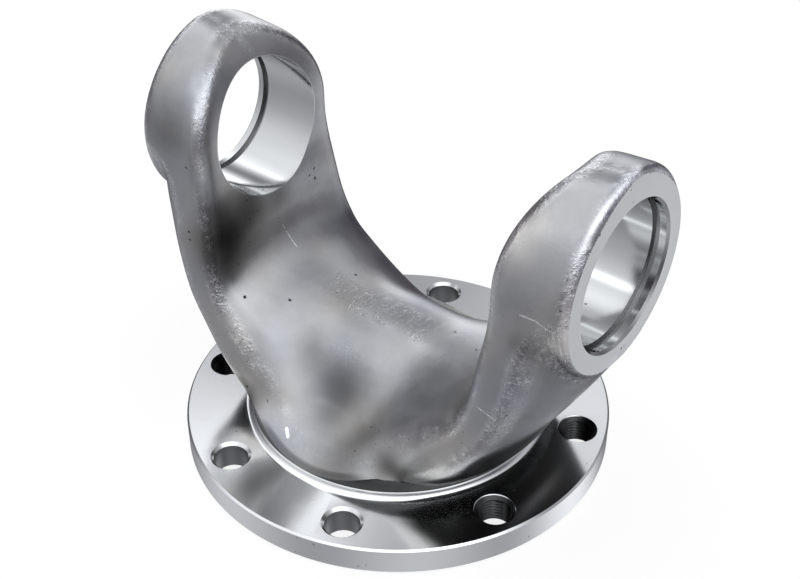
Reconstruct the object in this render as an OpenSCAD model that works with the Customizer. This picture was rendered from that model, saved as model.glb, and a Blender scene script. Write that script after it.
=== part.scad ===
// Flange yoke of a drive shaft: one forged and machined steel piece.
// Millimetres. Z points up, the mounting face of the flange lies on Z = 0,
// and the cross bores of the two ears run along X.

/* [Flange] */

// Outside diameter of the round flange
flange_d = 180; // [150:1:220]

// Thickness of the flange plate
flange_t = 12; // [9:0.5:16]

// Bevel on the upper edge of the flange
flange_bevel = 0.8; // [0.4:0.1:2]

// Distance of the bolt hole centres from the rim of the flange
hole_inset = 12.25; // [11:0.25:14]

// Diameter of the four plain bolt holes
plain_hole_d = 14.1; // [10:0.1:16]

// Core diameter of the four tapped holes
tapped_hole_d = 12.4; // [9:0.1:15]

// Width of the bevel at the mouth of each hole
hole_bevel = 1.25; // [0.5:0.05:2]

// Diameter of the centring recess in the mounting face
pilot_d = 110; // [90:1:120]

// Depth of the centring recess
pilot_depth = 2.5; // [1.5:0.1:4]

/* [Hub] */

// Distance of the turned neck from the rim of the flange
neck_inset = 28; // [26:0.5:32]

// Radius of the fillet between the flange and the neck
neck_fillet = 3; // [1.5:0.1:6]

// Height of the turned neck above the flange
neck_height = 10; // [7:0.5:14]

// Distance by which the forged hub stands out over the neck
hub_overhang = 0.7; // [0.3:0.1:2]

// Distance of the lower edge of the saddle from the neck, in front and behind
skirt_inset = 7.5; // [5:0.5:12]

// Rise of the ledge between the neck and the saddle, for each mm inwards
ledge_slope = 0.87; // [0.7:0.01:1]

/* [Ears] */

// Height of the cross bores above the mounting face
bore_height = 119.3; // [112:0.1:128]

// Diameter of the cross bores
bore_d = 57; // [50:0.5:59]

// Distance between the outer faces of the ears
ear_span = 202; // [198:1:206]

// Clear distance between the ears at the height of the bores
ear_gap = 136.8; // [130:0.2:142]

// Width of an ear at the height of the bores
ear_width = 78.4; // [76:0.2:84]

// Rise of the ear above the bore axis at its outer face
ear_rise = 41.4; // [38:0.2:46]

// Rise of the ear above the bore axis at its inner side
ear_rise_inner = 39.2; // [36:0.2:44]

// Growth of the arm width for each millimetre below the ear
arm_draft = 0.1; // [0.02:0.01:0.14]

// Diameter of the turned boss around the outer end of each bore
boss_d = 76; // [70:0.2:76.6]

// Distance of the snap ring groove from the outer face of the ear
groove_inset = 3.6; // [2.5:0.1:6]

// Width of the snap ring groove
groove_width = 3.1; // [2:0.1:4]

// Depth of the snap ring groove
groove_depth = 1.6; // [1:0.1:2.5]

// Bevel at both ends of the cross bores
bore_bevel = 1; // [0.4:0.1:1.6]

/* [Saddle] */

// Height of the saddle between the arms at its lowest line
saddle_height = 56.2; // [50:0.2:66]

// Radius of the arm edges toward the gap
inner_round = 8.5; // [4:0.5:11]

// Radius of the arm edges at the outside
outer_round = 5; // [2:0.5:7]

/* [Hidden] */

$fn = 96;
bolt_circle_d = flange_d - 2 * hole_inset;
neck_d = flange_d - 2 * neck_inset;
hub_d = neck_d + 2 * hub_overhang;
neck_top = flange_t + neck_height;
core_low = flange_t + 2;
ledge_foot = flange_t + neck_fillet + 0.2;
face_x = ear_span / 2;
trim_x = face_x + 1.8;
gap_x = ear_gap / 2;
thick = face_x - gap_x;
low = bore_height - neck_top;
rise = bore_height - saddle_height;
lift = saddle_height - neck_top;

// Points across the sections: inner face, rounded edges and outer face
face_steps = 6;
round_steps = 4;

// Sections along the arm and over the top of the ear
arm_sections = 28;
ear_angles = [12, 24, 35, 45, 54, 62, 69, 75, 80, 84];

// The four guide lines of one arm, from the middle of the saddle up to the
// height of the bores. Each point is [distance from the middle, height].
inner_mid = [
    [0, saddle_height],
    [0.31 * gap_x, saddle_height + 0.002 * rise],
    [0.585 * gap_x, saddle_height + 0.07 * rise],
    [0.76 * gap_x, saddle_height + 0.14 * rise],
    [0.865 * gap_x, saddle_height + 0.23 * rise],
    [0.912 * gap_x, saddle_height + 0.335 * rise],
    [0.933 * gap_x, saddle_height + 0.45 * rise],
    [0.952 * gap_x, saddle_height + 0.585 * rise],
    [0.982 * gap_x, saddle_height + 0.725 * rise],
    [0.994 * gap_x, saddle_height + 0.86 * rise],
    [gap_x, bore_height]
];
inner_edge = [
    [0, ledge_foot + ledge_slope * skirt_inset],
    [0.28 * gap_x, neck_top + 0.10 * lift],
    [0.555 * gap_x, neck_top + 0.49 * lift],
    [0.72 * gap_x, neck_top + 0.77 * lift],
    [0.838 * gap_x, saddle_height + 0.002 * rise],
    [0.898 * gap_x, saddle_height + 0.14 * rise],
    [0.931 * gap_x, saddle_height + 0.29 * rise],
    [0.957 * gap_x, saddle_height + 0.505 * rise],
    [0.98 * gap_x, saddle_height + 0.695 * rise],
    [0.985 * gap_x, saddle_height + 0.85 * rise],
    [0.988 * gap_x, bore_height]
];
outer_mid = [
    [0, core_low],
    [0.32 * neck_d / 2, core_low],
    [0.68 * neck_d / 2, core_low],
    [0.935 * neck_d / 2, core_low + 2],
    [gap_x, neck_top + 0.027 * low],
    [gap_x + 0.187 * thick, neck_top + 0.153 * low],
    [gap_x + 0.494 * thick, neck_top + 0.32 * low],
    [gap_x + 0.80 * thick, neck_top + 0.501 * low],
    [trim_x, neck_top + 0.68 * low],
    [trim_x, neck_top + 0.86 * low],
    [trim_x, bore_height]
];
outer_edge = [
    [0, core_low],
    [0.28 * neck_d / 2, core_low],
    [0.56 * neck_d / 2, core_low + 1.5],
    [0.735 * neck_d / 2, neck_top + 0.012 * low],
    [0.912 * neck_d / 2, neck_top + 0.105 * low],
    [gap_x - 0.05 * thick, neck_top + 0.225 * low],
    [gap_x + 0.255 * thick, neck_top + 0.367 * low],
    [gap_x + 0.453 * thick, neck_top + 0.563 * low],
    [gap_x + 0.545 * thick, neck_top + 0.76 * low],
    [gap_x + 0.66 * thick, neck_top + 0.89 * low],
    [gap_x + 0.97 * thick, bore_height]
];
stations = len(inner_mid) - 1;

function mix(a, b, t) = a + (b - a) * t;

// Smooth curve through a list of points, t from 0 to 1
function bend(a, b, c, d, t) =
    b + 0.5 * t * (c - a + t * (2 * a - 5 * b + 4 * c - d
    + t * (3 * (b - c) + d - a)));

// The first point of a list seen in the mirror at the middle of the saddle
function twin(p) = [-p[0], p[1]];

function guide(list, t) =
    let (
        s = min(floor(t * stations), stations - 1),
        before = s == 0 ? twin(list[1]) : list[s - 1],
        after = s == stations - 1
            ? 2 * list[stations] - list[stations - 1]
            : list[s + 2]
    )
    bend(before, list[s], list[s + 1], after, t * stations - s);

// Half width of the forging at a height
function half_width(z) = ear_width / 2 + arm_draft * max(0, bore_height - 9 - z);

// Fall of a crowned face from its middle line to its edge
function crown(s) = (1 - sqrt(1 - pow(0.955 * s, 2))) / (1 - sqrt(1 - 0.955 * 0.955));

// The same under the middle of the saddle, where the face runs out in a skirt
function skirt_crown(s) = s * s / (s * s + 2.1 * (1 - s) * (1 - s));

function bell(x, reach) = exp(-pow(abs(x) / reach, 2.6));

// Extra half width of the skirt, which runs out on the ledge of the hub
function skirt(x, z) = max(0, neck_d / 2 - skirt_inset - half_width(z)) * bell(x, 0.35 * gap_x);

function face_point(mid, edge, wide, s) =
    let (
        k = wide > half_width(edge[1]) ? bell(edge[0], 0.42 * gap_x) : 0,
        p = mix(mid, edge, mix(crown(abs(s)), skirt_crown(abs(s)), k))
    )
    [p[0], wide * s, p[1]];

function corner(edge, wide, side) = [edge[0], wide * side, edge[1]];

function arc(a, c, b, t) = mix(mix(a, c, t), mix(c, b, t), t);

// Quarter of a section: from the middle of a face round to its flank
function quarter(mid, edge, wide, r, across, far_wide, side) =
    let (
        k = min(r, 0.45 * wide) / wide,
        reach = min(0.4, min(r, 0.45 * wide) / norm(across - edge)),
        start = face_point(mid, edge, wide, side * (1 - k)),
        tip = corner(edge, wide, side),
        stop = corner(mix(edge, across, reach), mix(wide, far_wide, reach), side)
    )
    concat(
        [for (i = [1:face_steps]) face_point(mid, edge, wide, side * (1 - k) * i / face_steps)],
        [for (i = [1:round_steps]) arc(start, tip, stop, i / round_steps)]
    );

function backward(list) = [for (i = [len(list) - 1:-1:0]) list[i]];

// One closed section of the forging
function section(im, ie, om, oe, wi, wo) =
    concat(
        [[im[0], 0, im[1]]],
        quarter(im, ie, wi, inner_round, oe, wo, 1),
        backward(quarter(om, oe, wo, outer_round, ie, wi, 1)),
        [[om[0], 0, om[1]]],
        quarter(om, oe, wo, outer_round, ie, wi, -1),
        backward(quarter(im, ie, wi, inner_round, oe, wo, -1))
    );

function arm_section(t) =
    let (
        ie = guide(inner_edge, t),
        oe = guide(outer_edge, t)
    )
    section(guide(inner_mid, t), ie, guide(outer_mid, t), oe,
        half_width(ie[1]) + skirt(ie[0], ie[1]), half_width(oe[1]));

// Sections over the top of the ear, which close in on the parting plane
function ear_section(a) =
    let (
        w = ear_width / 2 * cos(a),
        back = 0.54 * thick * (1 - cos(a)),
        zi = bore_height + ear_rise_inner * sin(a),
        zo = bore_height + ear_rise * sin(a)
    )
    section([gap_x + back, zi], [0.988 * gap_x + back, zi],
        [trim_x, zo], [gap_x + 0.97 * thick, zo], w, w);

function mirrored(ring) = [for (p = ring) [-p[0], p[1], p[2]]];

right_rings = concat(
    [for (i = [0:arm_sections]) arm_section(i / arm_sections)],
    [for (a = ear_angles) ear_section(a)]
);
rings = concat(
    [for (i = [len(right_rings) - 1:-1:1]) mirrored(right_rings[i])],
    right_rings
);
ring_size = len(right_rings[0]);

// Body through a list of closed sections
module loft(rings, n) {
    last = len(rings) - 1;
    polyhedron(
        points = [for (ring = rings, p = ring) p],
        faces = concat(
            [[for (j = [n - 1:-1:0]) j]],
            [for (i = [0:last - 1], j = [0:n - 1])
                let (k = (j + 1) % n)
                [i * n + j, i * n + k, (i + 1) * n + k, (i + 1) * n + j]],
            [[for (j = [0:n - 1]) last * n + j]]
        )
    );
}

// Blank of the hub, wide enough for the fillet that is turned into its foot
module hub_blank() {
    r = hub_d / 2;
    top = neck_top + 6.2;
    rotate_extrude()
        polygon([
            [0, core_low - 1],
            [neck_d / 2 + neck_fillet, core_low - 1],
            [neck_d / 2 + neck_fillet, neck_top - 2],
            [r, neck_top + 0.3],
            [r - 1.2, neck_top + 1.4],
            [0.90 * r, neck_top + 2.8],
            [0.80 * r, neck_top + 4.4],
            [0.68 * r, top],
            [0, top]
        ]);
}

// Space under the two ledges, which fall from the saddle to the neck
module under_ledges() {
    out = neck_d / 2 + neck_fillet + 1;
    top = neck_top + 6.2;
    far = neck_d / 2 - (top + 1 - ledge_foot) / ledge_slope;
    rotate([90, 0, 90])
        linear_extrude(height = flange_d, center = true)
            polygon([
                [-out, core_low - 2],
                [out, core_low - 2],
                [out, ledge_foot - ledge_slope * (neck_fillet + 1)],
                [far, top + 1],
                [-far, top + 1],
                [-out, ledge_foot - ledge_slope * (neck_fillet + 1)]
            ]);
}

// Forged hub with a ledge in front and behind
module hub() {
    intersection() {
        hub_blank();
        under_ledges();
    }
}

// Round blank of the flange before it is turned
module plate() {
    r = flange_d / 2;
    rotate_extrude()
        polygon([
            [0, 0],
            [r - 0.7, 0],
            [r, 0.7],
            [r, flange_t - flange_bevel],
            [r - flange_bevel, flange_t],
            [r - flange_bevel, flange_t + 1],
            [0, flange_t + 1]
        ]);
}

// What the lathe takes away above the flange and around the neck
module turned_off() {
    n = neck_d / 2;
    rotate_extrude()
        difference() {
            translate([n, flange_t])
                square([flange_d, neck_height]);
            difference() {
                translate([n - 1, flange_t - 1])
                    square([neck_fillet + 1, neck_fillet + 1]);
                translate([n + neck_fillet, flange_t + neck_fillet])
                    circle(r = neck_fillet);
            }
        }
}

// Turned boss around the outer end of a bore
module boss() {
    translate([gap_x + 0.4 * thick, 0, bore_height])
        rotate([0, 90, 0])
            cylinder(d = boss_d, h = 0.6 * thick);
}

// Tool for one cross bore with its snap ring groove and bevels
module bore_tool() {
    r = bore_d / 2;
    g = face_x - groove_inset - groove_width;
    translate([0, 0, bore_height])
        rotate([0, 90, 0])
            rotate_extrude()
                polygon([
                    [0, gap_x - 12],
                    [r, gap_x - 12],
                    [r, g],
                    [r + groove_depth, g],
                    [r + groove_depth, g + groove_width],
                    [r, g + groove_width],
                    [r, face_x - bore_bevel],
                    [r + bore_bevel + 2, face_x + 2],
                    [0, face_x + 2]
                ]);
}

// Flat outer face of an ear
module face_tool() {
    translate([face_x, -ear_width, bore_height - ear_width])
        cube([20, 2 * ear_width, 2 * ear_width]);
}

// Tool for one hole of the flange, with a bevel at its mouth
module hole_tool(d) {
    r = d / 2;
    rotate_extrude()
        polygon([
            [0, -1],
            [r, -1],
            [r, flange_t - hole_bevel],
            [r + hole_bevel + 1, flange_t + 1],
            [0, flange_t + 1]
        ]);
}

// Centring recess in the mounting face
module pilot_tool() {
    r = pilot_d / 2;
    rotate_extrude()
        polygon([
            [0, -1],
            [r + 1.5, -1],
            [r, 0.5],
            [r, pilot_depth],
            [0, pilot_depth]
        ]);
}

module flange_yoke() {
    color([0.55, 0.56, 0.55])
        difference() {
            union() {
                loft(rings, ring_size);
                hub();
                plate();
                boss();
                mirror([1, 0, 0])
                    boss();
            }
            turned_off();
            face_tool();
            mirror([1, 0, 0])
                face_tool();
            bore_tool();
            mirror([1, 0, 0])
                bore_tool();
            for (a = [67.5, 112.5, 247.5, 292.5])
                rotate([0, 0, a])
                    translate([bolt_circle_d / 2, 0, 0])
                        hole_tool(plain_hole_d);
            for (a = [22.5, 157.5, 202.5, 337.5])
                rotate([0, 0, a])
                    translate([bolt_circle_d / 2, 0, 0])
                        hole_tool(tapped_hole_d);
            pilot_tool();
        }
}

flange_yoke();
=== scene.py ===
import bpy
import bmesh
import math
import numpy as np
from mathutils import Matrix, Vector, kdtree, noise


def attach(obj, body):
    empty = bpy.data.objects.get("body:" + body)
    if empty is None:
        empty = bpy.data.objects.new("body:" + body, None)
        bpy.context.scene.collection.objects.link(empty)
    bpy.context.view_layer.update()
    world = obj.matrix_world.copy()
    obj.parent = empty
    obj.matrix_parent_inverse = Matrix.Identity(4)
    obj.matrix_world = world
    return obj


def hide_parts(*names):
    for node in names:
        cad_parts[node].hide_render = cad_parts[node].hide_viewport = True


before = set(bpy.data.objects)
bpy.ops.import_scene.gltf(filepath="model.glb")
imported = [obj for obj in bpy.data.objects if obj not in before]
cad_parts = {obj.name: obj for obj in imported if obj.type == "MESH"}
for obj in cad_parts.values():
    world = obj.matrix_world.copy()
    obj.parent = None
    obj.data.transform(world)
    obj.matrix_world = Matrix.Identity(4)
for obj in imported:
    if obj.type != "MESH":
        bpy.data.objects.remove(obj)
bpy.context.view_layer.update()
scene = bpy.context.scene
MM = 0.001

# Sizes in mm and angles in degrees, the same as in the part's source
FLANGE_R, FLANGE_T = 90.0, 12.0
NECK_R, NECK_TOP, HUB_R, FILLET = 62.0, 22.0, 62.7, 3.0
CORE_LOW = 14.0
SKIRT_INSET, LEDGE_SLOPE, LEDGE_FOOT = 7.5, 0.87, 15.2
BORE_Z, BORE_R = 119.3, 28.5
FACE_X, GAP_X = 101.0, 68.4
TRIM_X = FACE_X + 1.8
THICK = FACE_X - GAP_X
SADDLE = 56.2
EAR_W, EAR_RISE, EAR_RISE_IN = 78.4, 41.4, 39.2
LOW, RISE, LIFT = BORE_Z - NECK_TOP, BORE_Z - SADDLE, SADDLE - NECK_TOP
HOLE_R, TAP_R, HOLE_CIRCLE = 7.05, 6.2, 77.75
RECESS_R, RECESS_DEPTH, RECESS_BEVEL = 55.0, 2.5, 0.5
FOOT_BEVEL, RIM_BEVEL = 0.7, 0.8
GROOVE_W, GROOVE_DEPTH, GROOVE_INSET = 3.1, 1.6, 3.6
GROOVE_X = FACE_X - GROOVE_INSET - GROOVE_W
BORE_BEVEL = 1.0
HOLE_BEVEL_R, HOLE_BEVEL_DEPTH = 8.3, 1.25
PLAIN_HOLES = (67.5, 112.5, 247.5, 292.5)
TAPPED_HOLES = (22.5, 157.5, 202.5, 337.5)
BOSS_R = 38

# Only in the scene: the thread of the tapped holes, the two ends of each boss before the cuts,
# and how far the forging's rim is rounded round the turned faces of the ears
THREAD_PITCH, THREAD_DEPTH = 1.5, 0.82
BOSS_IN, BOSS_OUT = 84, 104
EAR_ROUND = 2.2

# The crown of an ear: the corners of its section, and how far its inner side leans out, as a share
CORNER_IN, CORNER_OUT, LEAN = 0.988 * GAP_X, GAP_X + 0.97 * THICK, 0.54
ROUND_IN, ROUND_OUT = 8.5, 5.0

# Cutting tools reach this far, past the part on every side
PAST = 120


def table(rows):
    return np.array(rows, float)


# The four guide curves of the fork, as (x, z): middle and edge of its inner and its outer side
inner_mid = table([
    (0, SADDLE), (0.31 * GAP_X, SADDLE + 0.002 * RISE), (0.585 * GAP_X, SADDLE + 0.07 * RISE),
    (0.76 * GAP_X, SADDLE + 0.14 * RISE), (0.865 * GAP_X, SADDLE + 0.23 * RISE),
    (0.912 * GAP_X, SADDLE + 0.335 * RISE), (0.933 * GAP_X, SADDLE + 0.45 * RISE),
    (0.952 * GAP_X, SADDLE + 0.585 * RISE), (0.982 * GAP_X, SADDLE + 0.725 * RISE),
    (0.994 * GAP_X, SADDLE + 0.86 * RISE), (GAP_X, BORE_Z)])
inner_edge = table([
    (0, LEDGE_FOOT + LEDGE_SLOPE * SKIRT_INSET), (0.28 * GAP_X, NECK_TOP + 0.10 * LIFT),
    (0.555 * GAP_X, NECK_TOP + 0.49 * LIFT), (0.72 * GAP_X, NECK_TOP + 0.77 * LIFT),
    (0.838 * GAP_X, SADDLE + 0.002 * RISE), (0.898 * GAP_X, SADDLE + 0.14 * RISE),
    (0.931 * GAP_X, SADDLE + 0.29 * RISE), (0.957 * GAP_X, SADDLE + 0.505 * RISE),
    (0.98 * GAP_X, SADDLE + 0.695 * RISE), (0.985 * GAP_X, SADDLE + 0.85 * RISE),
    (0.988 * GAP_X, BORE_Z)])
outer_mid = table([
    (0, CORE_LOW), (0.32 * NECK_R, CORE_LOW), (0.68 * NECK_R, CORE_LOW),
    (0.935 * NECK_R, CORE_LOW + 2), (GAP_X, NECK_TOP + 0.027 * LOW),
    (GAP_X + 0.187 * THICK, NECK_TOP + 0.153 * LOW), (GAP_X + 0.494 * THICK, NECK_TOP + 0.32 * LOW),
    (GAP_X + 0.80 * THICK, NECK_TOP + 0.501 * LOW), (TRIM_X, NECK_TOP + 0.68 * LOW),
    (TRIM_X, NECK_TOP + 0.86 * LOW), (TRIM_X, BORE_Z)])
outer_edge = table([
    (0, CORE_LOW), (0.28 * NECK_R, CORE_LOW), (0.56 * NECK_R, CORE_LOW + 1.5),
    (0.735 * NECK_R, NECK_TOP + 0.012 * LOW), (0.912 * NECK_R, NECK_TOP + 0.105 * LOW),
    (GAP_X - 0.05 * THICK, NECK_TOP + 0.225 * LOW), (GAP_X + 0.255 * THICK, NECK_TOP + 0.367 * LOW),
    (GAP_X + 0.453 * THICK, NECK_TOP + 0.563 * LOW), (GAP_X + 0.545 * THICK, NECK_TOP + 0.76 * LOW),
    (GAP_X + 0.66 * THICK, NECK_TOP + 0.89 * LOW), (GAP_X + 0.97 * THICK, BORE_Z)])
STATIONS = len(inner_mid) - 1


def guide(rows, t):
    """The point of a guide curve at t from 0 to 1, on a smooth curve through its rows."""
    s = min(int(t * STATIONS), STATIONS - 1)
    b, c = rows[s], rows[s + 1]
    a = np.array([-rows[1][0], rows[1][1]]) if s == 0 else rows[s - 1]
    d = 2 * rows[-1] - rows[-2] if s == STATIONS - 1 else rows[s + 2]
    u = t * STATIONS - s
    return b + 0.5 * u * (c - a + u * (2 * a - 5 * b + 4 * c - d + u * (3 * (b - c) + d - a)))


def half_width(z):
    """Half the width of an arm at height z: it widens downwards."""
    return EAR_W / 2 + 0.1 * max(0.0, BORE_Z - 9 - z)


def crown(s, part=0.955):
    """Sag of a side from its middle to its edge, a part of a circle's."""
    return (1 - math.sqrt(1 - (part * s) ** 2)) / (1 - math.sqrt(1 - part ** 2))


def bell(x, reach):
    return math.exp(-(abs(x) / reach) ** 2.6)


def skirt(x, z):
    """How much wider the saddle is than an arm of the same height."""
    return max(0.0, NECK_R - SKIRT_INSET - half_width(z)) * bell(x, 0.35 * GAP_X)


def quarter(mid, edge, wide, r, across, far_wide, side, n_face, n_round):
    """Half of one side of a section, from its middle to the rounded corner."""
    r = min(r, 0.45 * wide)
    k = r / wide
    reach = min(0.4, r / np.linalg.norm(across - edge))

    def on_face(s):
        steep = bell(edge[0], 0.42 * GAP_X) if wide > half_width(edge[1]) + 1e-6 else 0
        a = abs(s)
        p = mid + (edge - mid) * (crown(a) * (1 - steep) + steep * a * a / (a * a + 2.1 * (1 - a) ** 2))
        return np.array([p[0], wide * s, p[1]])

    start = on_face(side * (1 - k))
    tip = np.array([edge[0], wide * side, edge[1]])
    q = edge + (across - edge) * reach
    stop = np.array([q[0], (wide + (far_wide - wide) * reach) * side, q[1]])
    out = [on_face(side * (1 - k) * i / n_face) for i in range(1, n_face + 1)]
    for i in range(1, n_round + 1):
        t = i / n_round
        out.append((start * (1 - t) + tip * t) * (1 - t) + (tip * (1 - t) + stop * t) * t)
    return out


def section(im, ie, om, oe, wi, wo, nf=16, nr=8):
    """A closed section of the fork from its four guide points and two half widths."""
    ring = [np.array([im[0], 0, im[1]])]
    ring += quarter(im, ie, wi, ROUND_IN, oe, wo, 1, nf, nr)
    ring += quarter(om, oe, wo, ROUND_OUT, ie, wi, 1, nf, nr)[::-1]
    ring.append(np.array([om[0], 0, om[1]]))
    ring += quarter(om, oe, wo, ROUND_OUT, ie, wi, -1, nf, nr)
    ring += quarter(im, ie, wi, ROUND_IN, oe, wo, -1, nf, nr)[::-1]
    return np.array(ring)


def crown_points(a):
    """Half width and the inner and outer corner of an ear's crown, at angle a above the bore's axis."""
    back = LEAN * THICK * (1 - math.cos(a))
    inner = np.array([CORNER_IN + back, BORE_Z + EAR_RISE_IN * math.sin(a)])
    outer = np.array([CORNER_OUT, BORE_Z + EAR_RISE * math.sin(a)])
    return EAR_W / 2 * math.cos(a), inner, outer


def arm_rings():
    """Sections from the crown of one ear over the saddle to the crown of the other."""
    rings = []
    for i in range(89):
        t = i / 88
        ie, oe = guide(inner_edge, t), guide(outer_edge, t)
        rings.append(section(guide(inner_mid, t), ie, guide(outer_mid, t), oe,
                             half_width(ie[1]) + skirt(ie[0], ie[1]), half_width(oe[1])))
    for a in np.radians(np.linspace(0, 86.5, 44)[1:]):
        w, ie, oe = crown_points(a)
        im = np.array([ie[0] + GAP_X - CORNER_IN, ie[1]])
        rings.append(section(im, ie, np.array([TRIM_X, oe[1]]), oe, w, w))
    left = [r * np.array([-1, 1, 1]) for r in rings[:0:-1]]
    return left + rings


def fix_normals(me):
    bm = bmesh.new()
    bm.from_mesh(me)
    bmesh.ops.recalc_face_normals(bm, faces=bm.faces)
    bm.to_mesh(me)
    bm.free()


def mesh_object(name, verts, faces):
    me = bpy.data.meshes.new(name)
    me.from_pydata([tuple(v) for v in verts], [], faces)
    me.validate()
    ob = bpy.data.objects.new(name, me)
    scene.collection.objects.link(ob)
    fix_normals(me)
    return ob


def loft(name, rings):
    """A closed body through rings of equal length."""
    n = len(rings[0])
    verts = np.concatenate(rings) * MM
    faces = [tuple(range(n - 1, -1, -1))]
    for i in range(len(rings) - 1):
        for j in range(n):
            k = (j + 1) % n
            faces.append((i * n + j, i * n + k, (i + 1) * n + k, (i + 1) * n + j))
    faces.append(tuple((len(rings) - 1) * n + j for j in range(n)))
    return mesh_object(name, verts, faces)


def revolve(name, profile, n=192, closed=False):
    """A turned body from (radius, height) points; a radius of 0 closes on the axis."""
    verts, rows = [], []
    for r, z in profile:
        if r < 1e-6:
            rows.append([len(verts)] * n)
            verts.append((0, 0, z * MM))
        else:
            rows.append(list(range(len(verts), len(verts) + n)))
            verts += [(r * MM * math.cos(2 * math.pi * i / n), r * MM * math.sin(2 * math.pi * i / n), z * MM)
                      for i in range(n)]
    faces = []
    pairs = list(zip(rows, rows[1:])) + ([(rows[-1], rows[0])] if closed else [])
    for a, b in pairs:
        for i in range(n):
            k = (i + 1) % n
            f = [a[i], a[k], b[k], b[i]]
            f = [v for m, v in enumerate(f) if v not in f[:m]]
            if len(f) > 2:
                faces.append(f)
    return mesh_object(name, verts, faces)


def turn_to_x(ob, side):
    """Lays a body turned about Z onto the axis of a cross bore."""
    co = np.array([v.co for v in ob.data.vertices])
    out = np.stack([co[:, 2] * side, co[:, 1], co[:, 0] + BORE_Z * MM], 1)
    ob.data.vertices.foreach_set("co", out.ravel())
    fix_normals(ob.data)
    return ob


def join(name, objs):
    """One object from several, which go."""
    verts, faces = [], []
    for o in objs:
        k = len(verts)
        verts += [tuple(v.co) for v in o.data.vertices]
        faces += [tuple(k + i for i in p.vertices) for p in o.data.polygons]
        bpy.data.objects.remove(o)
    me = bpy.data.meshes.new(name)
    me.from_pydata(verts, [], faces)
    ob = bpy.data.objects.new(name, me)
    scene.collection.objects.link(ob)
    return ob


def bake(ob):
    """Puts the result of the modifiers in place of the mesh."""
    dg = bpy.context.evaluated_depsgraph_get()
    me = bpy.data.meshes.new_from_object(ob.evaluated_get(dg))
    ob.modifiers.clear()
    ob.data = me


def cut(ob, tool):
    """Takes the tool out of the object, then removes the tool."""
    m = ob.modifiers.new("cut", "BOOLEAN")
    m.operation = "DIFFERENCE"
    m.solver = "EXACT"
    m.object = tool
    bake(ob)
    bpy.data.objects.remove(tool)


def smoothstep(a, b, x):
    """0 below a, 1 above b, smooth between."""
    t = np.clip((x - a) / (b - a), 0, 1)
    return t * t * (3 - 2 * t)


def hub_mesh(n=192, lowest=13.01):
    """The forged hub: a low dome whose front and back fall off as ledges."""
    blank = [(NECK_R + FILLET, NECK_TOP - 2), (HUB_R, NECK_TOP + 0.3), (HUB_R - 1.2, NECK_TOP + 1.4),
             (0.90 * HUB_R, NECK_TOP + 2.8), (0.80 * HUB_R, NECK_TOP + 4.4), (0.68 * HUB_R, NECK_TOP + 6.2)]
    rr, zz = np.array(blank)[::-1].T
    radii = np.concatenate([np.linspace(2, 58, 29), np.linspace(59, NECK_R + FILLET, 13)])
    verts, faces = [(0, 0, (NECK_TOP + 6.2) * MM)], []
    for r in radii:
        for i in range(n):
            a = 2 * math.pi * i / n
            x, y = r * math.cos(a), r * math.sin(a)
            z = min(np.interp(r, rr, zz), LEDGE_FOOT + LEDGE_SLOPE * (NECK_R - abs(y)))
            verts.append((x * MM, y * MM, max(z, lowest) * MM))
    for i in range(n):
        k = (i + 1) % n
        faces.append((0, 1 + i, 1 + k))
        for j in range(len(radii) - 1):
            faces.append((1 + j * n + i, 1 + (j + 1) * n + i, 1 + (j + 1) * n + k, 1 + j * n + k))
    low = len(verts)
    edge = low - n
    for i in range(n):
        verts.append((verts[edge + i][0], verts[edge + i][1], FLANGE_T * MM))
    verts.append((0, 0, FLANGE_T * MM))
    for i in range(n):
        k = (i + 1) % n
        faces.append((edge + i, low + i, low + k, edge + k))
        faces.append((low + n, low + k, low + i))
    return mesh_object("hub", verts, faces)


fork = loft("fork", arm_rings())
hub = hub_mesh()
boss_profile = [(0, BOSS_IN), (BOSS_R, BOSS_IN), (BOSS_R, BOSS_OUT), (0, BOSS_OUT)]
bosses = [turn_to_x(revolve("boss", boss_profile), side) for side in (1, -1)]
body = join("forged_fork", [fork, hub] + bosses)
remesh = body.modifiers.new("remesh", "REMESH")
remesh.mode = "VOXEL"
remesh.voxel_size = 1.0 * MM
remesh.adaptivity = 0
bake(body)

co = np.array([v.co for v in body.data.vertices]) / MM
edges = np.array([e.vertices[:] for e in body.data.edges])
count = np.bincount(edges.ravel(), minlength=len(co)).astype(float)[:, None]


def relax(co, weight, rounds):
    """Moves each point towards the middle of its neighbours."""
    for _ in range(rounds):
        total = np.zeros_like(co)
        np.add.at(total, edges[:, 0], co[edges[:, 1]])
        np.add.at(total, edges[:, 1], co[edges[:, 0]])
        co = co + weight[:, None] * 0.5 * (total / count - co)
    return co


# Soften the whole skin a little, and much more where the saddle flows into the hub
radius = np.hypot(co[:, 0], co[:, 1])
flow = (1 - smoothstep(40, 50, co[:, 2])) * (1 - smoothstep(36, 52, np.abs(co[:, 0])))
flow *= smoothstep(34, 42, radius) * (1 - smoothstep(62.5, 64.5, radius)) * smoothstep(12.6, 14.5, co[:, 2])
rounds = 4
co = relax(co, np.full(len(co), 0.5), 2 * rounds)
co = relax(co, flow, 24 * rounds)

# Round the rim of the ears where the flank meets the turned face
bend = np.clip((np.abs(co[:, 0]) - FACE_X + EAR_ROUND) / EAR_ROUND, 0, 1)
from_bore = np.hypot(co[:, 1], co[:, 2] - BORE_Z)
pull = 0.8 * EAR_ROUND * (1 - np.sqrt(1 - bend ** 2)) * smoothstep(20, 30, from_bore)
pull /= np.maximum(from_bore, 1)
co[:, 1] -= pull * co[:, 1]
co[:, 2] -= pull * (co[:, 2] - BORE_Z)
body.data.vertices.foreach_set("co", (co * MM).ravel())
body.data.update()

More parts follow.
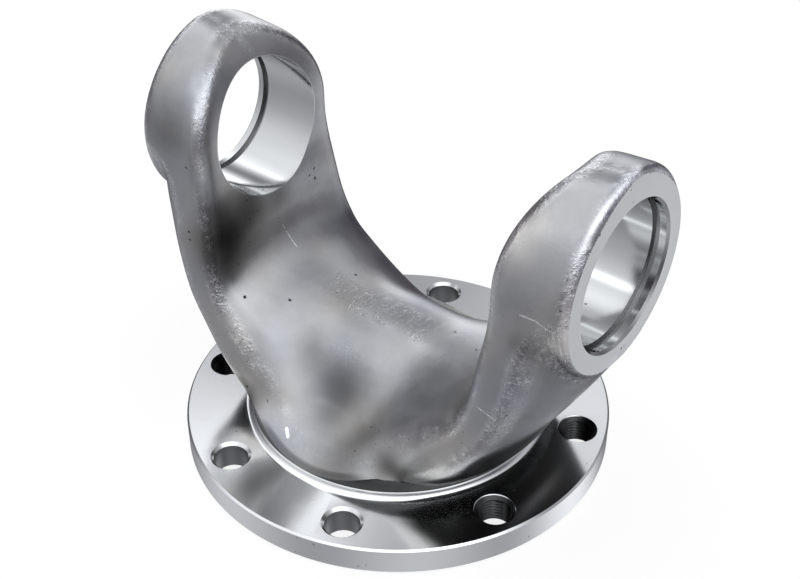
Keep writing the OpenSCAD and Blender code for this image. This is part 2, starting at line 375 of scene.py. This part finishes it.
# Turn the neck, then face, bore and groove the ears
neck_tool = [(NECK_R, 5), (PAST, 5), (PAST, NECK_TOP), (NECK_R, NECK_TOP)]
cut(body, revolve("neck_tool", neck_tool, 256, closed=True))
bore_tool = [(0, 50), (BORE_R, 50), (BORE_R, GROOVE_X), (BORE_R + GROOVE_DEPTH, GROOVE_X),
             (BORE_R + GROOVE_DEPTH, GROOVE_X + GROOVE_W), (BORE_R, GROOVE_X + GROOVE_W),
             (BORE_R, FACE_X - BORE_BEVEL), (BORE_R + BORE_BEVEL, FACE_X), (60, FACE_X), (60, PAST),
             (0, PAST)]
for side in (1, -1):
    cut(body, turn_to_x(revolve("bore_tool", bore_tool, 192), side))

# The turned flange: its profile from the recess in the foot round the rim to the fillet at the neck
fillet = [(NECK_R + FILLET * (1 - math.sin(a)), FLANGE_T + FILLET * (1 - math.cos(a)))
          for a in np.radians(np.linspace(0, 90, 13))]
neck_end = FLANGE_T + FILLET + 0.1
foot = [(0, RECESS_DEPTH), (RECESS_R, RECESS_DEPTH), (RECESS_R, RECESS_BEVEL), (RECESS_R + RECESS_BEVEL, 0),
        (FLANGE_R - FOOT_BEVEL, 0)]
edge = [(FLANGE_R, FOOT_BEVEL), (FLANGE_R, FLANGE_T - RIM_BEVEL), (FLANGE_R - RIM_BEVEL, FLANGE_T)]
flange = revolve("turned_flange", foot + edge + fillet + [(NECK_R - 0.4, neck_end), (0, neck_end)], 256)


def to_hole(ob, angle):
    """Moves a body from the flange's axis onto that of a hole."""
    a = math.radians(angle)
    for v in ob.data.vertices:
        v.co.x += HOLE_CIRCLE * MM * math.cos(a)
        v.co.y += HOLE_CIRCLE * MM * math.sin(a)
    return ob


hole_tool = [(0, -1), (HOLE_R, -1), (HOLE_R, FLANGE_T - HOLE_BEVEL_DEPTH), (HOLE_BEVEL_R, FLANGE_T),
             (HOLE_BEVEL_R + 1, FLANGE_T + 1), (0, FLANGE_T + 1)]
for angle in PLAIN_HOLES + TAPPED_HOLES:
    cut(flange, to_hole(revolve("hole_tool", hole_tool, 96), angle))


def thread(angle, n=72, parts=8, gap=0.15):
    """The wall of a tapped hole, with its groove winding round and its mouth bevelled."""
    verts, faces = [], []
    steps = int((FLANGE_T - 2 * gap) / THREAD_PITCH * parts)
    for i in range(steps + 1):
        z = gap + i * THREAD_PITCH / parts
        mouth = HOLE_BEVEL_R - 0.05 - max(0.0, FLANGE_T - z) if z > FLANGE_T - 1.6 else 0
        for j in range(n):
            a = 2 * math.pi * j / n
            u = (z / THREAD_PITCH - j / n) % 1.0
            tooth = max(0.0, min(1.0, (abs(2 * u - 1) - 0.1) / 0.75))
            r = min(max(TAP_R + THREAD_DEPTH * tooth, mouth), HOLE_BEVEL_R - 0.1)
            verts.append((r * MM * math.cos(a), r * MM * math.sin(a), z * MM))
    for i in range(steps):
        for j in range(n):
            k = (j + 1) % n
            faces.append((i * n + j, i * n + k, (i + 1) * n + k, (i + 1) * n + j))
    return to_hole(mesh_object("thread", verts, faces), angle)


threads = join("thread_walls", [thread(a) for a in TAPPED_HOLES])

for ob in (body, flange, threads):
    for p in ob.data.polygons:
        p.use_smooth = True
    ob.data.set_sharp_from_angle(angle=math.radians(28))


def edge_lines():
    """Points along the sharp corners that the rounded edges of the arms replace."""
    inner, outer = [], []
    for i in range(161):
        t = i / 160
        ie, oe = guide(inner_edge, t), guide(outer_edge, t)
        inner.append((ie[0], half_width(ie[1]) + skirt(ie[0], ie[1]), ie[1]))
        if oe[1] > NECK_TOP + 4:
            outer.append((oe[0], half_width(oe[1]), oe[1]))
    for a in np.radians(np.linspace(0, 88, 60)):
        w, ie, oe = crown_points(a)
        inner.append((ie[0], w, ie[1]))
        outer.append((oe[0], w, oe[1]))
    quarters = [(sx, sy, 1) for sx in (1, -1) for sy in (1, -1)]
    return [np.concatenate([np.array(line) * q for q in quarters]) for line in (inner, outer)]


def vectors(items, name):
    """One property of many mesh items, a row for each."""
    out = np.zeros(len(items) * 3)
    items.foreach_get(name, out)
    return out.reshape(-1, 3)


def nearest(points, co):
    """Distance from each place to the nearest of the points."""
    tree = kdtree.KDTree(len(points))
    for i, q in enumerate(points):
        tree.insert(q, i)
    tree.balance()
    return np.array([tree.find(c)[2] for c in co])


def add_attribute(ob, name, values):
    at = ob.data.attributes.new(name, "FLOAT", "POINT")
    at.data.foreach_set("value", np.asarray(values, np.float32))


co = vectors(body.data.vertices, "co") / MM
x, y, z = co.T
from_middle, from_axis, to_bore = np.abs(x), np.hypot(x, y), np.hypot(y, z - BORE_Z)
inner_line, outer_line = edge_lines()
d_in, d_out = nearest(inner_line, co), nearest(outer_line, co)
patchy = np.array([noise.noise(Vector(c) * 0.07) + 0.6 * noise.noise(Vector(c) * 0.19) for c in co])

# Where the forging is rough and bright: in a band along the edges, wider on the low flanks. Its lighter tone
# is partly wear and bare chips, partly a painted highlight
wide = 1.8 + 2.0 * (1 - smoothstep(95, 125, z))
band_in = (0.25 + 0.75 * smoothstep(20, 42, from_middle)) * (1 - smoothstep(2.6, 6.0, d_in))
band_out = (0.45 + 0.55 * smoothstep(48, 75, z)) * (1 - smoothstep(wide, wide + 2.8, d_out))
band_in *= np.clip(0.7 + 1.2 * patchy, 0.05, 1)
band_out *= np.clip(0.65 + 1.3 * patchy, 0.02, 1)

# The step under each turned face, and the seam on the crown of the ears
step = smoothstep(36, 38, to_bore) * (1 - smoothstep(40, 43, to_bore))
step *= smoothstep(86, 90, from_middle) * (1 - smoothstep(102, 112, z))
seam = (1 - smoothstep(1.0, 3.5, np.abs(y))) * smoothstep(146, 152, z)
add_attribute(body, "band", np.maximum(np.maximum(band_in, band_out), np.maximum(0.9 * step, 0.5 * seam)))
add_attribute(body, "stain", step)

# Hammer marks on the crest of the saddle, and a smaller patch in front of it
crest = (1 - smoothstep(5, 10, np.abs(y + 2))) * (1 - smoothstep(20, 31, np.abs(x + 8)))
crest = np.maximum(crest, 0.7 * np.exp(-((x + 5) / 8) ** 2 - ((y + 25) / 3) ** 2))
add_attribute(body, "marks", crest * np.clip(0.75 + patchy, 0, 1))

# Painted shade and painted highlights on the forging: x, y, z and reach in mm, then the change in powers of
# two
PAINTED_SHADING_SPOTS = [
    (-64.2, -32.0, 83.1, 10, -3.5), (-65.0, -16.8, 89.0, 9, -2.0), (-65.5, 0, 88.0, 7, -1.0),
    (-62.4, -36.0, 70.3, 7, -1.2), (-66.7, -32.4, 96.0, 6, -1.0), (33.9, -48.2, 24.1, 6, -1.5),
    (50.5, -44.8, 24.1, 6, -0.9), (-2.4, -33.3, 37.7, 11, -1.4), (-0.5, -41.4, 28.3, 8, -0.8),
    (16.4, -47.2, 27.0, 8, -1.0), (14.0, -55.0, 21.0, 11, -1.1), (-20.9, -29.6, 44.3, 8, -0.6),
    (-85.6, -38.2, 128.0, 12, -0.6), (86.0, -39.3, 104.8, 5, -0.8), (93.6, -34.0, 96.5, 6, -0.5),
    (71.2, -28.7, 139.8, 10, 0.9)]
painted_shading = np.zeros(len(co))
for *place, reach, change in PAINTED_SHADING_SPOTS:
    painted_shading += change * np.exp(-((co - place) ** 2).sum(1) / reach ** 2)

# Painted shade under the arms, at the foot of the arms and along the foot of the hub
facing = vectors(body.data.vertices, "normal")[:, 2]
painted_shading -= 4.0 * (1 - smoothstep(42, 58, z)) * (1 - smoothstep(-0.47, -0.34, facing))
painted_shading -= 2.4 * (1 - smoothstep(24, 31, z)) * smoothstep(36, 46, from_middle) * smoothstep(56, 60, from_axis)
painted_shading -= 1.2 * (1 - smoothstep(19, 22, z)) * smoothstep(59.2, 60.6, from_axis)

# Painted highlights on the rounded rim of the ears and on the inner edge of the arms
painted_shading += 0.9 * smoothstep(97.4, 99.2, from_middle) * smoothstep(90, 96, z)
painted_shading += 0.6 * (1 - smoothstep(3, 6, d_in)) * smoothstep(98, 108, z) * (1 - smoothstep(138, 150, z))
add_attribute(body, "painted_shading", np.clip(painted_shading, -4.5, 1.2))


class Graph:
    """Short names for the shader nodes that the materials and the world share."""

    def __init__(self, owner, output):
        owner.use_nodes = True
        self.owner = owner
        self.nodes, self.links = owner.node_tree.nodes, owner.node_tree.links
        self.nodes.clear()
        self.out = self.nodes.new(output)
        self.coord = self.nodes.new("ShaderNodeTexCoord")

    def place(self):
        """The place on the object, in mm."""
        return self.vec("SCALE", self.coord.outputs["Object"], scale=1 / MM)

    def put(self, socket, value):
        if isinstance(value, bpy.types.NodeSocket):
            self.links.new(value, socket)
        elif value is not None:
            socket.default_value = value

    def math(self, op, a, b=None, clamp=False):
        n = self.nodes.new("ShaderNodeMath")
        n.operation, n.use_clamp = op, clamp
        self.put(n.inputs[0], a)
        self.put(n.inputs[1], b)
        return n.outputs[0]

    def vec(self, op, a, b=None, scale=None):
        n = self.nodes.new("ShaderNodeVectorMath")
        n.operation = op
        self.put(n.inputs[0], a)
        self.put(n.inputs[1], b)
        if scale is not None:
            self.put(n.inputs["Scale"], scale)
        return n.outputs["Value"] if op in ("LENGTH", "DISTANCE", "DOT_PRODUCT") else n.outputs["Vector"]

    def noise(self, p, scale, detail=2.0, rough=0.5, distort=0.0):
        n = self.nodes.new("ShaderNodeTexNoise")
        self.put(n.inputs["Vector"], p)
        self.put(n.inputs["Scale"], scale)
        self.put(n.inputs["Detail"], detail)
        self.put(n.inputs["Roughness"], rough)
        self.put(n.inputs["Distortion"], distort)
        return n.outputs[0]

    def ramp(self, x, a, b, lo=0.0, hi=1.0):
        n = self.nodes.new("ShaderNodeMapRange")
        n.interpolation_type = "SMOOTHSTEP"
        for k, v in zip(("Value", "From Min", "From Max", "To Min", "To Max"), (x, a, b, lo, hi)):
            self.put(n.inputs[k], v)
        return n.outputs[0]

    def attribute(self, name):
        n = self.nodes.new("ShaderNodeAttribute")
        n.attribute_name = name
        return n.outputs["Fac"]

    def add(self, *xs):
        total = xs[0]
        for x in xs[1:]:
            total = self.math("ADD", total, x)
        return total

    def mul(self, *xs):
        total = xs[0]
        for x in xs[1:]:
            total = self.math("MULTIPLY", total, x)
        return total

    def grey(self, x, tint):
        """Grey of tone x times a fixed tint."""
        n = self.nodes.new("ShaderNodeCombineColor")
        for k in range(3):
            self.put(n.inputs[k], self.math("MULTIPLY", x, tint[k]))
        return n.outputs[0]

    def tinted(self, x, warm):
        """Grey of tone x that leans to the warm or to the cool side."""
        n = self.nodes.new("ShaderNodeCombineColor")
        self.put(n.inputs[0], self.mul(x, self.add(1.0, self.mul(warm, 0.6))))
        self.put(n.inputs[1], self.mul(x, self.add(1.0, self.mul(warm, 0.15))))
        self.put(n.inputs[2], self.mul(x, self.math("SUBTRACT", 1.0, self.mul(warm, 0.6))))
        return n.outputs[0]

    def across_bore(self, p):
        """Distance in mm from the axis of the cross bores."""
        return self.vec("LENGTH", self.vec("MULTIPLY", self.vec("SUBTRACT", p, (0, 0, BORE_Z)), (0, 1, 1)))

    def near_point(self, p, spots):
        """Distance to the nearest spot, each an x, y, z and a radius in mm."""
        best = None
        for q in spots:
            d = self.math("SUBTRACT", self.vec("DISTANCE", p, q[:3]), q[3])
            best = d if best is None else self.math("MINIMUM", best, d)
        return best

    def near_segment(self, p, segments):
        """Distance to the nearest of the straight lines, each from one place to another."""
        best = None
        for a, b in segments:
            a, b = Vector(a), Vector(b)
            ab = b - a
            pa = self.vec("SUBTRACT", p, tuple(a))
            share = self.vec("DOT_PRODUCT", pa, tuple(ab / ab.length_squared))
            t = self.math("MULTIPLY", share, 1.0, clamp=True)
            d = self.vec("DISTANCE", pa, self.vec("SCALE", tuple(ab), scale=t))
            best = d if best is None else self.math("MINIMUM", best, d)
        return best

    def mix(self, share, a, b):
        """Two shaders into the output."""
        n = self.nodes.new("ShaderNodeMixShader")
        self.put(n.inputs[0], share)
        self.links.new(a, n.inputs[1])
        self.links.new(b, n.inputs[2])
        self.links.new(n.outputs[0], self.out.inputs[0])

    def metal(self, colour, rough, height, aniso=0.0, axis=None):
        """Bare metal whose height is in mm; aniso draws its gloss out across the marks round an axis."""
        b = self.nodes.new("ShaderNodeBsdfPrincipled")
        self.put(b.inputs["Base Color"], colour)
        self.put(b.inputs["Metallic"], 1.0)
        self.put(b.inputs["Roughness"], rough)
        if aniso:
            b.inputs["Anisotropic"].default_value = aniso
            b.inputs["Anisotropic Rotation"].default_value = 0.25
            tan = self.nodes.new("ShaderNodeTangent")
            tan.direction_type, tan.axis = "RADIAL", axis
            self.links.new(tan.outputs[0], b.inputs["Tangent"])
        bump = self.nodes.new("ShaderNodeBump")
        bump.inputs["Distance"].default_value = MM
        self.put(bump.inputs["Height"], height)
        self.links.new(bump.outputs[0], b.inputs["Normal"])
        self.links.new(b.outputs[0], self.out.inputs[0])
        return self.owner


# Small pits, scratches and dark dots of the photo: x, y, z in mm, and the radius of the round ones
PITS = [
    (-53.5, -34.3, 59.5, 0.5), (-39.9, -21.9, 57.0, 0.45), (-29.8, 8.6, 57.2, 0.5), (-26.9, 35.0, 43.3, 0.5),
    (12.9, -27.7, 48.3, 0.35), (25.0, -23.9, 51.1, 0.5), (42.9, -5.0, 61.3, 0.4), (-75.7, -39.2, 115.3, 0.5),
    (-64.9, 23.2, 90.1, 0.5), (-64.2, 22.8, 85.5, 0.55), (-75.4, -41.6, 86.4, 0.5), (-74.9, -41.9, 82.9, 0.5),
    (26.5, 3.4, 57.1, 0.35), (-64.5, 20.0, 88.0, 0.3), (-42.7, -47.6, 26.0, 0.5), (61.0, -42.6, 63.0, 0.5)]
SCRATCHES = [
    ((-61.5, -1.4, 74.8), (-58.5, -0.6, 70.0)), ((-58.5, -0.6, 70.0), (-54.1, -0.7, 66.2)),
    ((-15.4, -25.2, 50.0), (-3.8, -26.2, 50.2)), ((70.8, -43.0, 72.6), (78.3, -42.9, 71.0)),
    ((83.4, -39.2, 117.9), (89.4, -39.2, 118.2)), ((89.4, -39.2, 118.2), (94.5, -38.9, 116.8)),
    ((-26.3, 2.4, 57.1), (-16.1, 2.6, 55.9))]
RIM_DOTS = [
    (20.5, -87.6, 10.2, 0.4), (27.3, -85.7, 9.4, 0.5), (34.4, -83.2, 11.2, 0.35), (43.4, -78.8, 2.5, 0.4),
    (46.1, -77.3, 3.6, 0.35)]
FACE_DOT = [(-38.0, -60.1, 12, 0.45)]

# A painted highlight: the bright glint at the foot of the saddle
GLINT = [((-14.9, -53.9, 22.3), (-12.5, -55.8, 20.6))]


def forged_skin():
    """The skin of the forging: grey, rougher and brighter along its edges, partly as painted highlight, with
    pits and scratches, painted highlights and painted shade.
    """
    g = Graph(bpy.data.materials.new("forged_skin"), "ShaderNodeOutputMaterial")
    p = g.place()
    band, marks, stain = g.attribute("band"), g.attribute("marks"), g.attribute("stain")
    # Painted shade and painted highlights of the forging, as a factor on its tone
    painted_shading = g.math("POWER", 2.0, g.attribute("painted_shading"))
    broad = g.noise(p, 0.028, 2)
    mottle = g.noise(p, 0.13, 3, 0.55)
    grain = g.noise(p, 1.3, 3, 0.6)
    hammer = g.noise(p, 0.50, 3, 0.6, 0.8)
    chips = g.ramp(g.noise(p, 0.42, 2, 0.6, 1.4), 0.55, 0.63)
    dots = g.mul(g.ramp(g.noise(p, 0.95, 1), 0.66, 0.70), band)
    streaks = g.noise(g.vec("MULTIPLY", p, (1.2, 0.22, 0.5)), 1.2, 3, 0.6, 0.5)
    streak = g.mul(g.ramp(streaks, 0.53, 0.62), marks)
    jag = g.math("MULTIPLY", g.math("SUBTRACT", g.noise(p, 1.6, 2), 0.5), 1.1)
    pit = g.ramp(g.add(g.near_point(p, PITS), jag), -0.28, 0.28, 1.0, 0.0)
    thin = g.math("MULTIPLY", g.math("SUBTRACT", g.noise(p, 0.9, 2), 0.5), 0.8)
    scratch = g.ramp(g.add(g.near_segment(p, SCRATCHES), thin), 0.05, 0.38, 1.0, 0.0)
    # Painted highlight along the glint's stroke
    glint = g.ramp(g.near_segment(p, GLINT), 0.35, 0.9, 1.0, 0.0)
    specks = g.mul(g.ramp(g.noise(p, 0.6, 1), 0.745, 0.765), g.ramp(broad, 0.48, 0.6))
    # A painted highlight along the inner mouth of the bores
    line = g.ramp(g.math("ABSOLUTE", g.math("SUBTRACT", g.across_bore(p), BORE_R)), 0.15, 0.5, 1.0, 0.0)
    # The band's lighter tone is partly wear and bare chips, partly a painted highlight on the edges
    tone = g.add(0.44, g.mul(g.math("SUBTRACT", broad, 0.5), 0.22),
                 g.mul(g.math("SUBTRACT", mottle, 0.5), 0.12),
                 g.mul(g.math("SUBTRACT", grain, 0.5), 0.04), g.mul(band, 0.10))
    tone = g.add(tone, g.mul(band, chips, 0.20), g.mul(streak, 0.30), g.mul(scratch, 0.4), g.mul(line, 0.3),
                 g.mul(glint, 1.5))
    dark = g.math("SUBTRACT", 1.0, g.math("MAXIMUM", g.mul(pit, 0.93), g.math("MAXIMUM", g.mul(specks, 0.6),
                                                                               g.mul(dots, 0.55))))
    dark = g.mul(dark, g.math("SUBTRACT", 1.0, g.mul(stain, g.ramp(hammer, 0.40, 0.52), 0.35)))
    tone = g.math("MINIMUM", g.mul(tone, dark, painted_shading), 0.95)
    rough = g.add(0.27, g.mul(mottle, 0.10), g.mul(band, -0.06), g.mul(band, chips, -0.04),
                  g.mul(streak, -0.10))
    height = g.add(g.mul(grain, 0.025), g.mul(mottle, 0.14), g.mul(band, hammer, 0.30),
                   g.mul(band, chips, 0.06), g.mul(streak, 0.12), g.mul(pit, -0.4), g.mul(scratch, 0.05))
    warm = g.mul(g.math("SUBTRACT", g.noise(p, 0.03, 1), 0.5), 0.34)
    return g.metal(g.tinted(tone, warm), rough, height)


def machined(name, tone, rough, pattern, aniso=0.0, axis="Z", depth=0.004, spots=()):
    """Bare cut metal. pattern gives the direction of the tool marks, spots are dark specks."""
    g = Graph(bpy.data.materials.new(name), "ShaderNodeOutputMaterial")
    p = g.place()
    sep = g.nodes.new("ShaderNodeSeparateXYZ")
    g.links.new(p, sep.inputs[0])
    x, y, z = sep.outputs
    if pattern == "rings":
        along = g.math("SQRT", g.add(g.mul(x, x), g.mul(y, y)))
    elif pattern == "bore":
        along = x
    elif pattern == "face":
        dz = g.math("SUBTRACT", z, BORE_Z)
        along = g.math("SQRT", g.add(g.mul(y, y), g.mul(dz, dz)))
    else:
        along = z
    line = g.nodes.new("ShaderNodeTexNoise")
    line.noise_dimensions = "1D"
    g.put(line.inputs["W"], along)
    line.inputs["Scale"].default_value = 2.6
    line.inputs["Detail"].default_value = 3.0
    lines = line.outputs[0]
    cloud = g.noise(p, 0.05, 3)
    fine = g.noise(p, 0.9, 3)
    speck = g.ramp(g.noise(p, 0.33, 1), 0.775, 0.795)
    if spots:
        jag = g.math("MULTIPLY", g.math("SUBTRACT", g.noise(p, 1.6, 2), 0.5), 0.8)
        speck = g.math("MAXIMUM", speck, g.ramp(g.add(g.near_point(p, spots), jag), -0.2, 0.25, 1.0, 0.0))
    colour = g.add(tone - 0.06, g.mul(cloud, 0.08), g.mul(lines, 0.05), g.mul(speck, -0.45))
    r = g.add(rough - 0.03, g.mul(cloud, 0.04), g.mul(lines, 0.03), g.mul(fine, 0.02), g.mul(speck, 0.2))
    height = g.add(g.mul(lines, depth), g.mul(fine, depth * 0.6))
    return g.metal(g.grey(colour, (0.985, 1.0, 0.995)), r, height, aniso, axis)


forged = forged_skin()
turned = machined("turned_flange", 0.94, 0.12, "rings", 0.6, "Z", spots=FACE_DOT)
rim = machined("turned_rim", 0.97, 0.20, "rim", 0.6, "Z", spots=RIM_DOTS)
bored = machined("bored_steel", 0.60, 0.10, "bore", 0.4, "X", 0.002)
faced = machined("ear_face", 0.50, 0.24, "face", 0.6, "X")
drilled = machined("drilled_hole", 0.30, 0.40, "rings", 0.0, "Z", 0.02)
tapped = machined("tapped_hole", 0.06, 0.30, "rim", 0.0, "Z", 0.02)
bevelled = machined("hole_bevel", 0.80, 0.20, "rings", 0.0, "Z", 0.002)
groove = machined("ring_groove", 0.34, 0.25, "bore", 0.0, "X", 0.004)
# Painted shade: the turned neck wall under the arms is given a near-black tone
neck = machined("neck_wall_painted_shade", 0.05, 0.25, "rim", 0.0, "Z", 0.03)


def keep_crisp(ob, index):
    """No smooth shading across the border of two finishes."""
    me = ob.data
    loop_edge = np.zeros(len(me.loops), np.int32)
    me.loops.foreach_get("edge_index", loop_edge)
    corners = np.zeros(len(me.polygons), np.int32)
    me.polygons.foreach_get("loop_total", corners)
    finish = np.repeat(index, corners)
    low, high = np.full(len(me.edges), 99.0), np.full(len(me.edges), -1.0)
    np.minimum.at(low, loop_edge, finish)
    np.maximum.at(high, loop_edge, finish)
    sharp = np.zeros(len(me.edges), bool)
    me.edges.foreach_get("use_edge_sharp", sharp)
    me.edges.foreach_set("use_edge_sharp", sharp | (low != high))


def assign(ob, materials, index):
    """Gives each face the finish that its index names."""
    ob.data.materials.clear()
    for m in materials:
        ob.data.materials.append(m)
    ob.data.polygons.foreach_set("material_index", index.astype(np.int32))
    keep_crisp(ob, index)


def faces_of(ob):
    """Middle in mm and normal of each face."""
    return vectors(ob.data.polygons, "center") / MM, vectors(ob.data.polygons, "normal")


# The finishes of the forging, by where a face lies and where it looks
FORGED, BORED, FACED, TURNED, GROOVE, NECK = range(6)
cen, nor = faces_of(body)
from_bore = np.hypot(cen[:, 1], cen[:, 2] - BORE_Z)
from_axis, from_middle = np.hypot(cen[:, 0], cen[:, 1]), np.abs(cen[:, 0])
in_bore = (from_bore < BORE_R + 1.8) & (from_middle > 60)
bore_wall = (np.abs(nor[:, 0]) < 0.3) & (from_bore > BORE_R - 0.3)
in_groove = (from_bore > BORE_R + 0.2) & (from_bore < BORE_R + GROOVE_DEPTH + 0.3)
on_neck = cen[:, 2] < NECK_TOP + 0.05
index = np.full(len(cen), FORGED)
index[in_bore & (bore_wall | (from_middle > 93))] = BORED
index[from_middle > FACE_X - 0.02] = FACED
index[in_groove & (from_middle > GROOVE_X - 0.2) & (from_middle < GROOVE_X + GROOVE_W + 0.2)] = GROOVE
index[on_neck & (nor[:, 2] < -0.9)] = TURNED
index[on_neck & (from_axis > NECK_R - 0.02)] = NECK
assign(body, [forged, bored, faced, turned, groove, neck], index)

# The finishes of the flange
SURFACE, RIM, HOLE, BEVEL = range(4)
cen, nor = faces_of(flange)
index = np.full(len(cen), SURFACE)
index[(np.abs(nor[:, 2]) < 0.5) & (np.hypot(cen[:, 0], cen[:, 1]) > FLANGE_R - 0.5)] = RIM
for angle in PLAIN_HOLES + TAPPED_HOLES:
    a = math.radians(angle)
    r = np.hypot(cen[:, 0] - HOLE_CIRCLE * math.cos(a), cen[:, 1] - HOLE_CIRCLE * math.sin(a))
    index[(r < HOLE_R + 0.25) & (np.abs(nor[:, 2]) < 0.3)] = HOLE
    index[(r < HOLE_BEVEL_R + 0.05) & (nor[:, 2] > 0.3) & (nor[:, 2] < 0.95)] = BEVEL
assign(flange, [turned, rim, drilled, bevelled], index)
assign(threads, [tapped], np.zeros(len(threads.data.polygons)))

for ob in (body, flange, threads):
    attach(ob, "root")
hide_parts("flange_yoke")


def pale_floor():
    """A white floor that keeps the shadow. It glows a little, and the metal doesn't mirror it."""
    floor = mesh_object("floor", [(-30, -30, 0), (30, -30, 0), (30, 30, 0), (-30, 30, 0)], [(0, 1, 2, 3)])
    g = Graph(bpy.data.materials.new("pale_floor"), "ShaderNodeOutputMaterial")
    matt = g.nodes.new("ShaderNodeBsdfDiffuse")
    matt.inputs[0].default_value = (0.82, 0.82, 0.82, 1)
    glow = g.nodes.new("ShaderNodeEmission")
    glow.inputs[0].default_value = (1, 1, 1, 1)
    glow.inputs[1].default_value = 1.16
    g.mix(0.72, matt.outputs[0], glow.outputs[0])
    floor.data.materials.append(g.owner)
    floor.visible_glossy = False


# The studio round the part: soft boxes that only the metal mirrors.
# Each is a name, then azimuth and elevation in degrees, sharpness of its edge and strength.
SOFT_BOXES = [
    ("top", 311, 72, 6, 0.9),
    ("top left", 184, 62, 14, 1.0),
    ("top right", 60, 62, 14, 0.7),
    ("back left", 156, 42, 40, 1.3),
    ("back right", 106, 38, 40, 1.1),
    ("back strip", 143, 50, 250, 2.2),
    ("back low", 128, 8, 30, 2.2),
    ("left", 222, 35, 8, 0.85),
    ("left low", 245, -5, 8, 0.45),
    ("front left", 285, 35, 8, 0.9),
    ("front right", 345, 42, 10, 1.3),
    ("right", 50, 20, 16, 0.4),
    ("right low", 57, -35, 10, 1.0),
    ("floor in front", 320, -50, 5, 0.5),
    ("floor at the left", 200, -45, 6, 0.5),
    ("bore glint", 236, 46, 200, 1.5)]
BOX_TINT = (0.98, 1.0, 1.03)
ROOM_TINT = (0.045, 0.038, 0.054)


def direction(azimuth, elevation):
    a, e = math.radians(azimuth), math.radians(elevation)
    return (math.cos(a) * math.cos(e), math.sin(a) * math.cos(e), math.sin(e))


def studio():
    """Plain light all round, except that glossy rays see the soft boxes."""
    world = bpy.data.worlds.new("world")
    scene.world = world
    g = Graph(world, "ShaderNodeOutputWorld")
    world.cycles.sampling_method = "NONE"
    total = ROOM_TINT
    for _, azimuth, elevation, sharpness, strength in SOFT_BOXES:
        facing = g.vec("DOT_PRODUCT", g.coord.outputs["Generated"], direction(azimuth, elevation))
        glow = g.math("POWER", g.math("MAXIMUM", facing, 0.0), float(sharpness))
        total = g.vec("ADD", total, g.vec("SCALE", [strength * c for c in BOX_TINT], scale=glow))
    boxes = g.nodes.new("ShaderNodeBackground")
    g.links.new(total, boxes.inputs[0])
    plain = g.nodes.new("ShaderNodeBackground")
    plain.inputs[0].default_value = (0.8, 0.8, 0.8, 1)
    path = g.nodes.new("ShaderNodeLightPath")
    g.mix(path.outputs["Is Glossy Ray"], plain.outputs[0], boxes.outputs[0])


# The photo's camera: its place in m, the direction that it looks from, and its lens
CAMERA_PLACE = (0.27444, -0.34302, 0.38879)
CAMERA_AZIMUTH, CAMERA_ELEVATION = 38.563 - 90, 36.131
LENS, SENSOR = 60.43, 36


def photo_camera():
    data = bpy.data.cameras.new("camera")
    data.sensor_width, data.lens = SENSOR, LENS
    data.clip_start, data.clip_end = 0.01, 100
    camera = bpy.data.objects.new("camera", data)
    scene.collection.objects.link(camera)
    camera.location = CAMERA_PLACE
    camera.rotation_mode = "QUATERNION"
    toward = -Vector(direction(CAMERA_AZIMUTH, CAMERA_ELEVATION))
    camera.rotation_quaternion = toward.to_track_quat("-Z", "Y")
    scene.camera = camera


pale_floor()
studio()
photo_camera()
scene.view_settings.view_transform = "Standard"
